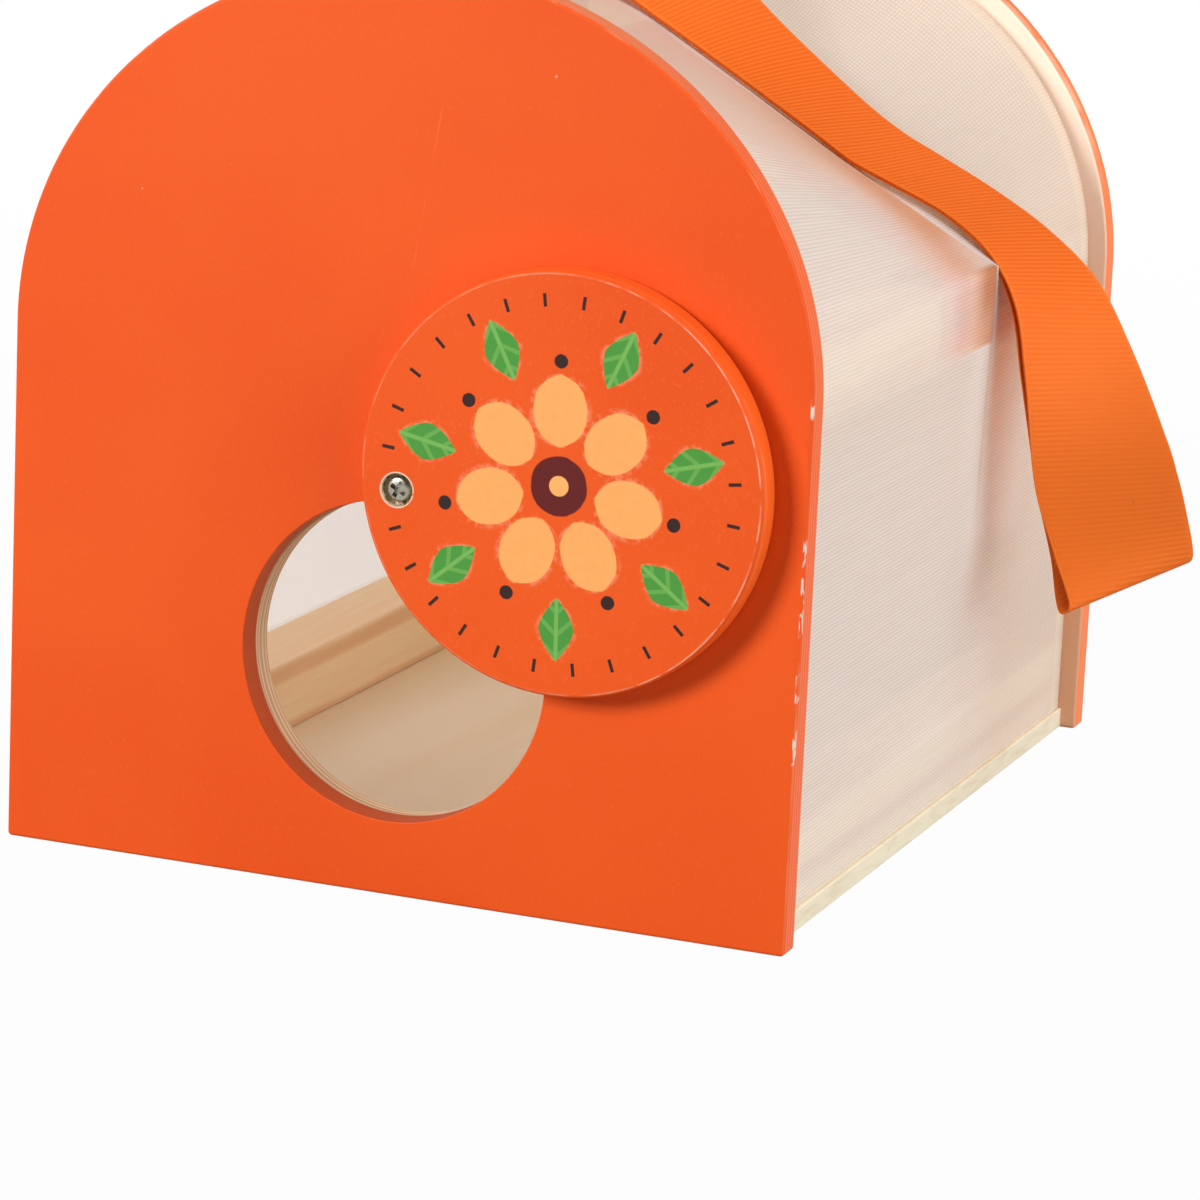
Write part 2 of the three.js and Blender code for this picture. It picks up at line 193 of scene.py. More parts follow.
class Finish:
    def __init__(self, name, owner=None):
        self.owner = owner or bpy.data.materials.new(name)
        self.owner.use_nodes = True
        self.tree = self.owner.node_tree
        self.tree.nodes.clear()
        self.coords = None

    def add(self, kind, settings, sockets):
        node = self.tree.nodes.new(kind)
        for key, value in settings.items():
            setattr(node, key, value)
        for key, value in sockets.items():
            if isinstance(value, Num):
                self.tree.links.new(value.socket, node.inputs[key])
            elif isinstance(value, bpy.types.NodeSocket):
                self.tree.links.new(value, node.inputs[key])
            else:
                node.inputs[key].default_value = value
        return node

    def num(self, node, output=0):
        return Num(self, node.outputs[output])

    def coord(self, source):
        if not self.coords:
            self.coords = self.add("ShaderNodeTexCoord", {}, {})
        return self.coords.outputs[source]

    def axes(self, source="Object", scale=1000):
        split = self.add("ShaderNodeSeparateXYZ", {}, {0: self.coord(source)})
        return [self.num(split, i) * scale for i in range(3)]

    def noise(self, scale, detail=2.0, stretch=(1, 1, 1), source="Object", warp=0.0, shift=(0, 0, 0)):
        sockets = {"Vector": self.coord(source), "Scale": stretch, "Location": shift}
        place = self.add("ShaderNodeMapping", {}, sockets)
        sockets = {"Vector": place.outputs[0], "Scale": scale, "Detail": detail, "Distortion": warp}
        return self.num(self.add("ShaderNodeTexNoise", {}, sockets))

    def dots(self, scale):
        sockets = {"Vector": self.coord("Object"), "Scale": scale}
        return self.num(self.add("ShaderNodeTexVoronoi", {}, sockets))

    def step(self, value, low, high):
        settings = {"interpolation_type": "SMOOTHSTEP"}
        return self.num(self.add("ShaderNodeMapRange", settings, {0: value, 1: low, 2: high, 3: 0.0, 4: 1.0}))

    def within(self, value, low, high, soft):
        return self.step(value, low - soft, low) * (1 - self.step(value, high, high + soft))

    def bands(self, value, spans, soft):
        total = 0.0
        for low, high in spans:
            total = self.within(value, low, high, soft) + total
        return total

    def blend(self, first, second, factor):
        settings = {"data_type": "RGBA", "blend_type": "MIX"}
        return self.add("ShaderNodeMix", settings, {0: factor, 6: first, 7: second}).outputs[2]

    def seenBy(self, *rays):
        path = self.add("ShaderNodeLightPath", {}, {})
        seen = self.num(path, rays[0])
        for ray in rays[1:]:
            seen = seen.atLeast(self.num(path, ray))
        return seen

    def body(self, colour, roughness, height, depth, specular=0.5, **others):
        bump = self.add("ShaderNodeBump", {}, {"Strength": 1.0, "Distance": depth, "Height": height})
        sockets = {"Base Color": colour, "Roughness": roughness, "Normal": bump.outputs[0],
                   "Specular IOR Level": specular, **others}
        return self.add("ShaderNodeBsdfPrincipled", {}, sockets)

    def mix(self, share, first, second):
        sockets = {0: share, 1: first.outputs[0], 2: second.outputs[0]}
        return self.add("ShaderNodeMixShader", {}, sockets)

    def done(self, shader, output="ShaderNodeOutputMaterial"):
        self.add(output, {}, {"Surface": shader.outputs[0]})
        return self.owner


def setFinish(obj, material):
    obj.data.materials.clear()
    obj.data.materials.append(material)


# sky and floor: soft light, white to the camera
sky = Finish("studioWorld", bpy.data.worlds.new("studioWorld"))
skySeen = sky.seenBy("Is Camera Ray", "Is Transmission Ray")
skyLight = sky.add("ShaderNodeBackground", {}, {"Color": studio["white"], "Strength": studio["sky"]})
skyWhite = sky.add("ShaderNodeBackground", {}, {"Color": studio["white"]})
scene.world = sky.done(sky.mix(skySeen, skyLight, skyWhite), "ShaderNodeOutputWorld")

floorMesh = bmesh.new()
bmesh.ops.create_grid(floorMesh, x_segments=1, y_segments=1, size=studio["floorSize"])
studioFloor = addMesh("studioFloor", floorMesh)
floorFinish = Finish("studioFloor")
floorSeen = floorFinish.seenBy("Is Camera Ray", "Is Glossy Ray", "Is Transmission Ray")
floorPale = floorFinish.add("ShaderNodeBsdfDiffuse", {}, {"Color": studio["floor"]})
floorGlow = floorFinish.add("ShaderNodeEmission", {}, {"Color": studio["white"], "Strength": 1.0})
floorAway = distance(*floorFinish.axes(scale=1)[:2])
floorWhite = floorFinish.step(floorAway, studio["whiteFrom"], studio["whiteTo"])
glowShare = floorSeen * (studio["nearWhite"] + floorWhite * (1 - studio["nearWhite"]))
setFinish(studioFloor, floorFinish.done(floorFinish.mix(glowShare, floorPale, floorGlow)))
print("floor and sky set")


# paint and wood: depths in a finish are in mm behind the outer face
paint = {
    "deep": rgb(230, 80, 14),
    "light": rgb(236, 88, 19),
    "speck": rgb(246, 116, 60),
    "rough": 0.46,
    "bare": rgb(232, 180, 144),
    "bareGrain": rgb(214, 156, 118),
    "bareTopPaintedLight": rgb(255, 233, 214),
}
wood = {
    "pale": rgb(236, 212, 178),
    "tan": rgb(250, 214, 172),
    "core": rgb(190, 146, 108),
}


def stretched(along, share):
    return [share if axis == along else 1.0 for axis in "xyz"]


def grainColour(finish, along, pale, dark, scale):
    broad = finish.noise(scale, 4, stretched(along, 0.06), warp=0.4)
    fine = finish.noise(scale * 9, 3, stretched(along, 0.06))
    return finish.blend(pale, dark, finish.step(broad, 0.38, 0.72) * 0.75 + fine * 0.22)


def paintFinish(name, node, marks, bareFrom=None):
    finish = Finish(name)
    x, y, z = finish.axes()
    low, high = nodeBox(node)
    deep = max(-low[1], high[1]) - abs(y)
    blotch = finish.noise(14, 3)
    speck = finish.noise(1500, 2)
    orangePeel = finish.noise(420, 2)
    colour = finish.blend(paint["deep"], paint["light"], finish.step(blotch, 0.3, 0.7))
    colour = finish.blend(colour, paint["speck"], finish.step(speck, 0.56, 0.78) * 0.28)
    rough = paint["rough"] + 0.14 * blotch
    colour, rough = marks(finish, x, deep, z, colour, rough)
    if bareFrom:
        core = grainColour(finish, "z", paint["bare"], paint["bareGrain"], 60)
        # painted light: the bare inner face is painted lighter higher up
        core = finish.blend(core, paint["bareTopPaintedLight"], finish.step(z, 70, 125) * 0.9)
        mask = finish.step(deep, bareFrom, bareFrom + 0.2)
        colour = finish.blend(colour, core, mask)
        rough = rough + mask * 0.25
    height = orangePeel * 0.7 + speck * 0.3
    return finish.done(finish.body(colour, rough, height, 0.00004, specular=0.22))


panelPlan = {"spring": 95, "segments": 256, "corner": 0.8, "round": 0.6, "bareFrom": 5.1}
linerPlan = {**panelPlan, "corner": 0, "round": 0}
holePlan = {"radius": 28.8, "height": 42.3, "round": 0.2, "linerDown": 0.4, "steps": 160}
frontWear = {
    "chips": [(34.5, 40.5), (45.5, 49.5), (57, 67), (69, 73), (94.5, 98.5)],  # heights on the right edge
    "scratchFrom": (5.6, 140),
    "scratchTo": (1.0, 110.3),
    "ply": 1.15,
    "edge": rgb(236, 96, 40),
    "sanded": rgb(242, 136, 94),
    "rubbed": rgb(246, 140, 96),
    "chip": rgb(232, 214, 200),
    "holeWallThinPaintAndShade": rgb(184, 72, 30),
}
backWearAndEdgeLight = {"edge": rgb(255, 138, 80), "worn": rgb(248, 196, 162)}


def frontMarks(finish, x, deep, z, colour, rough):
    wear = frontWear

    # edge with its sanded plies, and paler high on the arch
    edge = finish.step(deep, 0.25, 0.7)
    plies = (deep + finish.noise(90, 2) * 0.458).wave(wear["ply"])
    topEdge = finish.step(z, 136, 160) * (0.5 + finish.noise(110, 3) * 0.6)
    paleOnEdge = (finish.step(plies, 0.55, 0.95) * 0.7).atLeast(topEdge)
    colour = finish.blend(colour, finish.blend(wear["edge"], wear["sanded"], paleOnEdge), edge)

    # scratch and dust on the face
    (ax, az), (bx, bz) = wear["scratchFrom"], wear["scratchTo"]
    length = sqrt((bx - ax) ** 2 + (bz - az) ** 2)
    aside = abs((x - ax) * ((bz - az) / length) - (z - az) * ((bx - ax) / length))
    broken = finish.step(finish.noise(160, 1), 0.35, 0.6)
    scratch = (1 - finish.step(aside, 0.03, 0.16)) * finish.within(z, bz, az, 3) * broken
    colour = finish.blend(colour, paint["speck"], scratch * 0.7)
    dust = 1 - finish.step(finish.dots(60), 0.012, 0.02)
    dust = dust * finish.step(finish.noise(30, 1, shift=(3, 1, 2)), 0.5, 0.56)
    colour = finish.blend(colour, wear["chip"], dust * 0.5)

    # rubbed corner, partly wear and partly a painted highlight along the rounded edge, and chips on its right
    # side
    rubbed = finish.step(finish.noise(260, 3, stretched("z", 0.25)), 0.48, 0.7)
    rubbed = rubbed * finish.within(deep, 0.15, 0.3, 0.12)
    colour = finish.blend(colour, wear["rubbed"], rubbed * 0.6)
    ragged = finish.step(finish.noise(1500, 4, stretched("z", 0.22)), 0.5, 0.55)
    right = nodeBox("front_panel")[1][0]
    rightEdge = finish.step(x, right - 0.6, right - 0.4)
    corner = rightEdge * (1 - finish.step(deep, 0.4, 0.7))
    chip = finish.bands(z, wear["chips"], 0.8) * ragged * corner
    colour = finish.blend(colour, wear["chip"], chip)

    # wall of the hole: thin paint, darkened further as painted shade
    bore = distance(x, z - holePlan["height"])
    mouth = holePlan["radius"] + holePlan["round"]
    wall = (1 - finish.step(bore, mouth, mouth + 0.4)) * finish.step(deep, 0.05, 0.25)
    colour = finish.blend(colour, wear["holeWallThinPaintAndShade"], wall * 0.85)
    return colour, rough + chip * 0.3


def backMarks(finish, x, deep, z, colour, rough):
    # painted highlight: the back panel's edge is painted lighter
    colour = finish.blend(colour, backWearAndEdgeLight["edge"], finish.step(deep, 0.3, 1.1) * 0.85)
    patchy = finish.step(finish.noise(140, 3), 0.3, 0.6)
    worn = finish.step(z, 104, 128) * finish.step(deep, 1.8, 3.4) * patchy
    return finish.blend(colour, backWearAndEdgeLight["worn"], worn * 0.7), rough


# door: its rosette is in polar coordinates around the middle of the disc
doorLow, doorHigh = nodeBox("door_disc")
doorPlan = {
    "pivot": inMm(frame["joints"][0]["pos_m"])[::2],  # x and z, as in middle
    "middle": ((doorLow[0] + doorHigh[0]) / 2, (doorLow[2] + doorHigh[2]) / 2),
    "radius": (doorHigh[0] - doorLow[0]) / 2,
    "front": doorLow[1],
    "back": doorHigh[1],
    "round": 0.7,
    "sink": 2.95,
    "sinkDeep": 1.8,
    "bore": 1.58,
    "steps": 192,
    "rubbed": rgb(248, 172, 140),
    "rim": rgb(240, 104, 34),
    "rimLine": rgb(246, 150, 100),
    "raw": rgb(240, 218, 188),
    "sunkPale": rgb(226, 208, 172),
    "sunkDark": rgb(128, 98, 62),
}
rosette = {
    "turn": 0.2,
    "petals": 7,
    "petalAt": 13.0,
    "petalSize": (6.4, 5.0),
    "leaves": 7,
    "leafAt": 25.0,
    "leafSize": (5.6, 3.3),
    "seedAt": 21.5,
    "seedSize": (1.3, 1.3),
    "heart": 5.2,
    "dot": 1.7,
    "strokes": 28,
    "strokeFrom": 30.8,
    "strokeTo": 33.0,
    "peach": rgb(253, 178, 102),
    "peachDark": rgb(248, 164, 92),
    "maroon": rgb(96, 22, 20),
    "green": rgb(74, 148, 58),
    "lime": rgb(128, 186, 92),
    "ink": rgb(46, 24, 20),
    "halo": rgb(250, 150, 110),
}


def doorMarks(finish, x, deep, z, colour, rough):
    plan = doorPlan
    dx, dz = x - plan["middle"][0], z - plan["middle"][1]
    radius = distance(dx, dz)
    angle = dz.angleTo(dx)

    # rubbed rim, and the disc's side painted lighter as a painted highlight
    ring = finish.within(radius, plan["radius"] - 0.6, plan["radius"] - 0.45, 0.12)
    rub = ring * finish.step(finish.noise(220, 3), 0.36, 0.6) * (0.4 + finish.step(dx, -5, 25) * 0.6)
    colour = finish.blend(colour, plan["rubbed"], rub * 0.75)
    colour = finish.blend(colour, plan["rim"], finish.step(deep, 0.2, 0.8) * 0.8)
    rimLine = finish.within(deep, 1.2, 1.4, 0.15) * finish.step(finish.noise(160, 3), 0.4, 0.6)
    colour = finish.blend(colour, plan["rimLine"], rimLine * 0.5)

    def repeat(count, turn):
        share = (angle + turn) * (count / (2 * pi))
        return (share - share.rounded()) * (2 * pi / count)

    def spot(local, at, size, point):  # under 1 inside a shape that points outwards
        along = (radius * local.cosine() - at) / size[0]
        across = radius * local.sine() / size[1]
        width = (1 - abs(along) ** point).atLeast(0.0001)
        return (across * across / width + abs(along) ** 2) ** 0.5, along, across

    look = rosette
    petalTurn = repeat(look["petals"], look["turn"])
    leafTurn = repeat(look["leaves"], look["turn"] + pi / look["leaves"])
    petal = spot(petalTurn, look["petalAt"], look["petalSize"], 8)[0]
    leaf, leafAlong, leafAcross = spot(leafTurn, look["leafAt"], look["leafSize"], 1.3)
    seed = spot(petalTurn, look["seedAt"], look["seedSize"], 8)[0]
    face = 1 - finish.step(deep, 0.1, 0.3)
    wobble = finish.noise(420, 2) * 0.5 - 0.25
    soft = wobble * 0.12

    halo = (1 - finish.step(petal, 1.0, 1.22)).atLeast(1 - finish.step(leaf, 1.0, 1.3))
    halo = halo * finish.step(finish.noise(900, 3), 0.4, 0.62)
    colour = finish.blend(colour, look["halo"], halo * face * 0.55)
    vein = 1 - finish.step(abs(leafAcross), 0.06, 0.16)
    ribs = finish.step((leafAlong * 9 + abs(leafAcross) * 5).sine(), 0.55, 0.8)
    green = finish.blend(look["green"], look["lime"], vein.atLeast(ribs * 0.6) * 0.75)
    colour = finish.blend(colour, green, (1 - finish.step(leaf + soft, 0.95, 1.02)) * face)
    peach = finish.blend(look["peach"], look["peachDark"], finish.noise(700, 2))
    colour = finish.blend(colour, peach, (1 - finish.step(petal + soft, 0.95, 1.01)) * face)
    colour = finish.blend(colour, look["ink"], (1 - finish.step(seed + soft, 0.9, 1.02)) * face)
    heart = 1 - finish.step(radius + wobble, look["heart"] - 0.15, look["heart"] + 0.1)
    colour = finish.blend(colour, look["maroon"], heart * face)
    dot = 1 - finish.step(radius, look["dot"], look["dot"] + 0.15)
    colour = finish.blend(colour, look["peach"], dot * face)
    fromStroke = abs(repeat(look["strokes"], 0.1)) * radius
    stroke = finish.within(radius, look["strokeFrom"], look["strokeTo"], 0.12)
    stroke = stroke * (1 - finish.step(fromStroke, 0.22, 0.4)) * face
    colour = finish.blend(colour, look["ink"], stroke)

    # raw wood round the screw
    bore = distance(x - plan["pivot"][0], z - plan["pivot"][1])
    raw = 1 - finish.step(bore, plan["sink"] + 0.1, plan["sink"] + 0.35)
    raw = raw * finish.step(finish.noise(900, 2), 0.25, 0.4)
    colour = finish.blend(colour, plan["raw"], raw * 0.9)
    sunk = (1 - finish.step(bore, plan["sink"] + 0.05, plan["sink"] + 0.25)) * finish.step(deep, 0.1, 0.4)
    darkPatches = finish.step(finish.noise(1300, 3), 0.45, 0.65)
    colour = finish.blend(colour, finish.blend(plan["sunkPale"], plan["sunkDark"], darkPatches), sunk)
    return colour, rough


linerPly = {
    "node": "front_liner",
    "along": "z",
    "across": "y",
    "layers": [(0.4, 0.8), (1.4, 2.2), (3.0, 3.4), (4.1, 4.3)],
    "coreShare": 0.65,
    "face": wood["pale"],
    "grain": wood["tan"],
}
backLinerPly = {**linerPly, "node": "back_liner", "layers": [(1.4, 3.2)]}
floorPly = {
    "node": "floor_board",
    "along": "y",
    "across": "z",
    "layers": [(1.3, 2.7)],
    "coreShare": 0.15,
    "face": rgb(252, 244, 226),
    "grain": rgb(246, 233, 206),
    "rimWide": 0.9,
    "rim": rgb(240, 229, 202),
    "rimFibre": rgb(222, 206, 170),
}
pineLook = {
    "pale": rgb(254, 224, 184),
    "light": rgb(254, 232, 198),
    "ring": rgb(226, 170, 122),
    "ringHigh": 11.6,
    "ringFrom": 13.0,
    "railX": 56,
    "tilt": 0.035,
}
steelLook = {"dark": rgb(128, 122, 110), "light": rgb(196, 188, 172)}


def plyFinish(name, plan):
    finish = Finish(name)
    places = finish.axes()
    low, high = nodeBox(plan["node"])
    axis = "xyz".index(plan["across"])
    colour = grainColour(finish, plan["along"], plan["face"], plan["grain"], 45)
    layers = finish.bands(places[axis] - low[axis], plan["layers"], 0.12)
    colour = finish.blend(colour, wood["core"], layers * plan["coreShare"])
    if "rim" in plan:
        fibres = finish.step(finish.noise(900, 3, stretched("y", 0.15)), 0.4, 0.75)
        rim = finish.blend(plan["rim"], plan["rimFibre"], fibres * 0.7)
        rimFrom = high[0] - plan["rimWide"]
        onRim = finish.step(abs(places[0]), rimFrom, rimFrom + 0.4)
        colour = finish.blend(colour, rim, onRim * 0.9)
    pores = finish.noise(1400, 2, stretched(plan["along"], 0.2))
    return finish.done(finish.body(colour, 0.72 + pores * 0.1, pores, 0.00005))


def pineFinish(name):
    look = pineLook
    finish = Finish(name)
    x, y, z = finish.axes()
    wander = finish.noise(22, 2, stretched("y", 0.3)) * 0.3 + finish.noise(160, 2, stretched("y", 0.1)) * 0.1
    height = (z - look["ringFrom"]) / look["ringHigh"] + (abs(x) - look["railX"]) * look["tilt"]
    rings = (height + wander - 0.2).wave(1)
    fine = finish.noise(900, 3, stretched("y", 0.04))
    colour = finish.blend(look["pale"], look["light"], finish.step(fine, 0.3, 0.7))
    colour = finish.blend(colour, look["ring"], finish.step(rings, 0.7, 0.98) * 0.6)
    return finish.done(finish.body(colour, 0.62 + fine * 0.15, fine, 0.00006))


def steelFinish(name):
    finish = Finish(name)
    brushed = finish.noise(2600, 2)
    colour = finish.blend(steelLook["dark"], steelLook["light"], brushed)
    return finish.done(finish.body(colour, 0.2 + brushed * 0.2, brushed, 0.00002, Metallic=1.0))


print("finishes ready")


# rigid pieces
def addPiece(name, mesh, body, replaced, material, smooth=40):
    obj = addMesh(name, mesh)
    obj.data.polygons.foreach_set("use_smooth", [True] * len(obj.data.polygons))
    obj.data.set_sharp_from_angle(angle=radians(smooth))
    setFinish(obj, material)
    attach(obj, body)
    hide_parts(*replaced)
    return obj


def newVerts(made):
    return [part for part in made["geom"] if isinstance(part, bmesh.types.BMVert)]


def archPlate(node, plan):
    (left, front, bottom), (right, back, top) = nodeBox(node)
    spring = plan["spring"] * mm
    mesh = bmesh.new()
    bmesh.ops.create_circle(mesh, cap_ends=True, segments=plan["segments"], radius=1)
    stand = Matrix.Translation((0, 0, spring)) @ Matrix.Rotation(pi / 2, 4, "X")
    oval = Matrix.Diagonal(((right - left) / 2 * mm, top * mm - spring, 1, 1))
    bmesh.ops.transform(mesh, matrix=stand @ oval, verts=mesh.verts)
    bmesh.ops.bisect_plane(mesh, geom=mesh.verts[:] + mesh.edges[:] + mesh.faces[:], dist=tiny,
                           plane_co=(0, 0, spring), plane_no=(0, 0, 1), clear_inner=True)
    base = [edge for edge in mesh.edges if all(abs(vert.co.z - spring) < tiny for vert in edge.verts)]
    low = newVerts(bmesh.ops.extrude_edge_only(mesh, edges=base))
    bmesh.ops.translate(mesh, vec=(0, 0, bottom * mm - spring), verts=low)
    if plan["corner"]:
        bmesh.ops.bevel(mesh, geom=low, offset=plan["corner"] * mm, offset_type="OFFSET", segments=5,
                        profile=0.5, affect="VERTICES", material=-1)
    seam = [edge for edge in mesh.edges if len(edge.link_faces) == 2]
    bmesh.ops.dissolve_edges(mesh, edges=seam, use_verts=False)
    bmesh.ops.translate(mesh, vec=(0, front * mm, 0), verts=mesh.verts)
    far = newVerts(bmesh.ops.extrude_face_region(mesh, geom=mesh.faces[:], use_keep_orig=True))
    bmesh.ops.translate(mesh, vec=(0, (back - front) * mm, 0), verts=far)
    bmesh.ops.recalc_face_normals(mesh, faces=mesh.faces)
    if plan["round"]:
        rims = [edge for edge in mesh.edges if abs(edge.verts[0].co.y - edge.verts[1].co.y) < tiny]
        bmesh.ops.bevel(mesh, geom=rims, offset=plan["round"] * mm, offset_type="OFFSET", segments=4,
                        profile=0.5, affect="EDGES", material=-1)
    return mesh


def turned(profile, at, steps):
    mesh = bmesh.new()
    atX, atZ = at[0] * mm, at[1] * mm
    line = [mesh.verts.new((atX + radius * mm, y * mm, atZ)) for radius, y in profile]
    for one, two in zip(line, line[1:]):
        mesh.edges.new((one, two))
    bmesh.ops.spin(mesh, geom=mesh.verts[:] + mesh.edges[:], cent=(atX, 0, atZ), axis=(0, 1, 0),
                   dvec=(0, 0, 0), angle=2 * pi, steps=steps, use_merge=True)
    bmesh.ops.remove_doubles(mesh, verts=mesh.verts, dist=tiny)
    bmesh.ops.recalc_face_normals(mesh, faces=mesh.faces)
    return mesh


def cutAway(mesh, cutters):
    solid = addMesh("body", mesh)
    tools = [addMesh("cutter", cutter) for cutter in cutters]
    for tool in tools:
        cut = solid.modifiers.new("cut", "BOOLEAN")
        cut.object = tool
        cut.operation = "DIFFERENCE"
        cut.solver = "EXACT"
    done = bpy.data.meshes.new_from_object(solid.evaluated_get(bpy.context.evaluated_depsgraph_get()))
    result = bmesh.new()
    result.from_mesh(done)
    for obj in tools + [solid]:
        bpy.data.objects.remove(obj)
    return result


def evenShade(obj):
    shade = obj.modifiers.new("evenShade", "WEIGHTED_NORMAL")
    shade.keep_sharp = True
    shade.weight = 100


past = 2  # how far a cutter reaches past a face
arcSteps = [i / 5 * pi / 2 for i in range(6)]


def holeTool(node, height, edge):
    low, high = nodeBox(node)
    start, end, hole = low[1] - past, high[1] + past, holePlan["radius"]
    mouth = [(hole, start)]
    if edge:
        mouth = [(hole + edge, start)]
        mouth += [(hole + edge * (1 - sin(a)), low[1] + edge * (1 - cos(a))) for a in arcSteps]
    return turned([(0, start)] + mouth + [(hole, end), (0, end)], (0, height), holePlan["steps"])


def makeEnds():
    panelTool = holeTool("front_panel", holePlan["height"], holePlan["round"])
    frontPaint = paintFinish("frontPaint", "front_panel", frontMarks, panelPlan["bareFrom"])
    evenShade(addPiece("frontPanel", cutAway(archPlate("front_panel", panelPlan), [panelTool]),
                       "case", ["front_panel"], frontPaint))
    backPaint = paintFinish("backPaint", "back_panel", backMarks, panelPlan["bareFrom"])
    evenShade(addPiece("backPanel", archPlate("back_panel", panelPlan),
                       "case", ["back_panel"], backPaint))
    linerTool = holeTool("front_liner", holePlan["height"] - holePlan["linerDown"], 0)
    evenShade(addPiece("frontLiner", cutAway(archPlate("front_liner", linerPlan), [linerTool]),
                       "case", ["front_liner"], plyFinish("linerPly", linerPly)))


makeEnds()
print("ends made")


def makeDoor():
    plan = doorPlan
    front, back = plan["front"], plan["back"]
    edge, inset = plan["round"], plan["radius"] - plan["round"]
    frontRound = [(inset + edge * sin(a), front + edge * (1 - cos(a))) for a in arcSteps]
    backRound = [(inset + edge * cos(a), back - edge * (1 - sin(a))) for a in arcSteps]
    disc = turned([(0, front)] + frontRound + backRound + [(0, back)], plan["middle"], plan["steps"])
    seat, start, end = front + plan["sinkDeep"], front - past, back + past
    sinkTool = turned([(0, start), (plan["sink"], start), (plan["sink"], seat), (plan["bore"], seat),
                       (plan["bore"], end), (0, end)], plan["pivot"], 64)
    doorPaint = paintFinish("doorPaint", "door_disc", doorMarks)
    evenShade(addPiece("doorDisc", cutAway(disc, [sinkTool]),
                       "door", ["door_disc"], doorPaint))


screwPlan = {
    "head": 2.2,
    "high": 1.3,
    "dome": 0.45,
    "shank": 1.5,
    "end": -83.6,
    "tip": 1.0,
    "clear": 0.08,
    "slot": (3.0, 2.0, 0.85),
    "slotTurn": 0.5,
}


def makeScrew(material):
    plan = screwPlan
    seat = doorPlan["front"] + doorPlan["sinkDeep"] - plan["clear"]
    top = seat - plan["high"]
    dome = [(plan["head"] * sin(a), top + plan["dome"] * (1 - cos(a))) for a in arcSteps]
    shank = [(plan["head"], seat), (plan["shank"], seat), (plan["shank"], plan["end"]),
             (0, plan["end"] + plan["tip"])]
    screw = turned(dome + shank, doorPlan["pivot"], 48)
    pivotX, pivotZ = doorPlan["pivot"]
    onTop = Matrix.Translation(Vector((pivotX, top, pivotZ)) * mm)
    slot = Matrix.Diagonal((*(Vector(plan["slot"]) * mm), 1))
    tools = []
    for turn in (plan["slotTurn"], plan["slotTurn"] + pi / 2):
        tool = bmesh.new()
        bmesh.ops.create_cube(tool, size=1)
        bmesh.ops.transform(tool, matrix=onTop @ Matrix.Rotation(turn, 4, "Y") @ slot, verts=tool.verts)
        tools.append(tool)
    evenShade(addPiece("pivotScrew", cutAway(screw, tools), "case", ["pivot_screw"], material))


steel = steelFinish("screwSteel")
makeDoor()
makeScrew(steel)
print("door and screw made")

setFinish(nodes["floor_board"], plyFinish("floorPly", floorPly))
setFinish(nodes["back_liner"], plyFinish("backLinerPly", backLinerPly))
railPine = pineFinish("railPine")
for name, node in nodes.items():
    if name.endswith("_rail"):
        setFinish(node, railPine)
    if "_brad_" in name or "_tack_" in name:
        setFinish(node, steel)
print("floor, rails and nails finished")


# soft pieces start as a grid of columns and rows, with the weave in their UV map
def layGrid(columns, rows, place, weave):
    mesh = bmesh.new()
    bmesh.ops.create_grid(mesh, x_segments=columns, y_segments=rows, size=0.5)
    uvLayer = mesh.loops.layers.uv.new("weave")
    spots = {}
    for vert in mesh.verts:
        spots[vert] = (round((vert.co.x + 0.5) * columns), round((vert.co.y + 0.5) * rows))
    for vert, spot in spots.items():
        vert.co = place(*spot) * mm
    for face in mesh.faces:
        for loop in face.loops:
            loop[uvLayer].uv = Vector(weave(*spots[loop.vert])) * mm
    return mesh


def runLengths(gaps):
    run = [0.0]
    for gap in gaps:
        run.append(run[-1] + gap.length)
    return run


# net sleeve
netLow, netHigh = nodeBox("net_cover")
linerHigh = nodeBox("front_liner")[1]
netPlan = {
    "half": linerHigh[0] + 0.7,  # over the liners
    "rise": netHigh[2] - panelPlan["spring"],
    "spring": panelPlan["spring"],
    "foot": netLow[2],
    "front": netLow[1],
    "liner": linerHigh[1],
    "creaseY": 20.0,
    "cornerX": netHigh[0],
    "cornerZ": 104.4,
    "apexZ": 146.0,
    "fade": 54.0,
    "sag": 1.6,
    "dip": 0.8,
    "peak": 9.6,
    "slitX": -14.0,
    "slitHalf": 3.8,
    "slitY": (-7, 22),
    "slitAbove": 120,
    "sideSteps": 44,
    "topSteps": 150,
    "rows": 150,
}
netLook = {
    "warp": 0.72,
    "weft": 0.95,
    "upperRail": (89.5, 103.0),
    "lowerRail": (4, 17.5),
    "shade": rgb(229, 223, 220),
    "thread": rgb(253, 251, 249),
    "far": rgb(222, 204, 184),
    "left": rgb(200, 199, 202),
    "rail": rgb(238, 229, 218),
    "hem": rgb(248, 240, 224),
    "bandEdge": rgb(242, 188, 150),
    "band": rgb(218, 146, 100),
    "crease": rgb(255, 252, 247),
    "tuckEdge": rgb(244, 190, 154),
    "tuck": rgb(198, 124, 82),
    "fold": rgb(196, 172, 154),
    "drawn": rgb(255, 254, 252),
    "glow": rgb(242, 236, 231),
}


def smoothStep(value, low, high):
    share = min(max((value - low) / (high - low), 0), 1)
    return share * share * (3 - 2 * share)


def netDraw(y):  # 0 on the liners, 1 at the crease
    plan = netPlan
    if y <= plan["liner"] or y >= -plan["liner"]:
        return 0
    if y <= plan["creaseY"]:
        return (y - plan["liner"]) / (plan["creaseY"] - plan["liner"])
    gone = (y - plan["creaseY"]) / (-plan["liner"] - plan["creaseY"])
    return 1 - gone ** plan["sag"]


